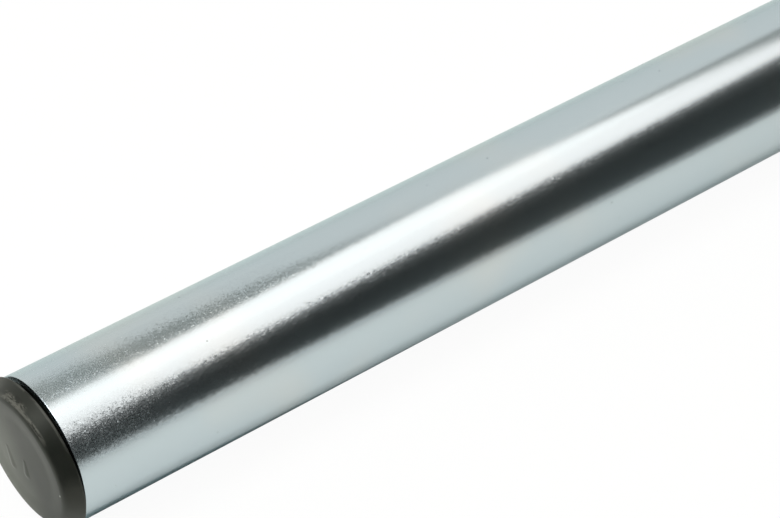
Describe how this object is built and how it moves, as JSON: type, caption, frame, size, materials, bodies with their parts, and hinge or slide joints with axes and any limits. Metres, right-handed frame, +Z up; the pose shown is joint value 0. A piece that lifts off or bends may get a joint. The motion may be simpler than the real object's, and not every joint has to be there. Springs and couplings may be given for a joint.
{
  "type": "steel tube with end plugs",
  "caption": "Straight round zinc-plated steel tube, raw stock, closed by a dark plastic push-in plug at each end; one plug sits slightly crooked.",
  "frame": {"origin": "middle of the object's footprint on the floor it lies on", "axes": "+X along the tube from the crooked plug to the square one, +Z up"},
  "size_m": [1.0126, 0.0499, 0.0499],
  "materials": {
    "zinc_plated_steel": "bright zinc plate, fine grain",
    "plug_plastic": "moulded, satin, scuffed edge"
  },
  "bodies": {
    "root": {"tube": "zinc_plated_steel", "near_end_plug": "plug_plastic", "far_end_plug": "plug_plastic"}
  },
  "joints": []
}
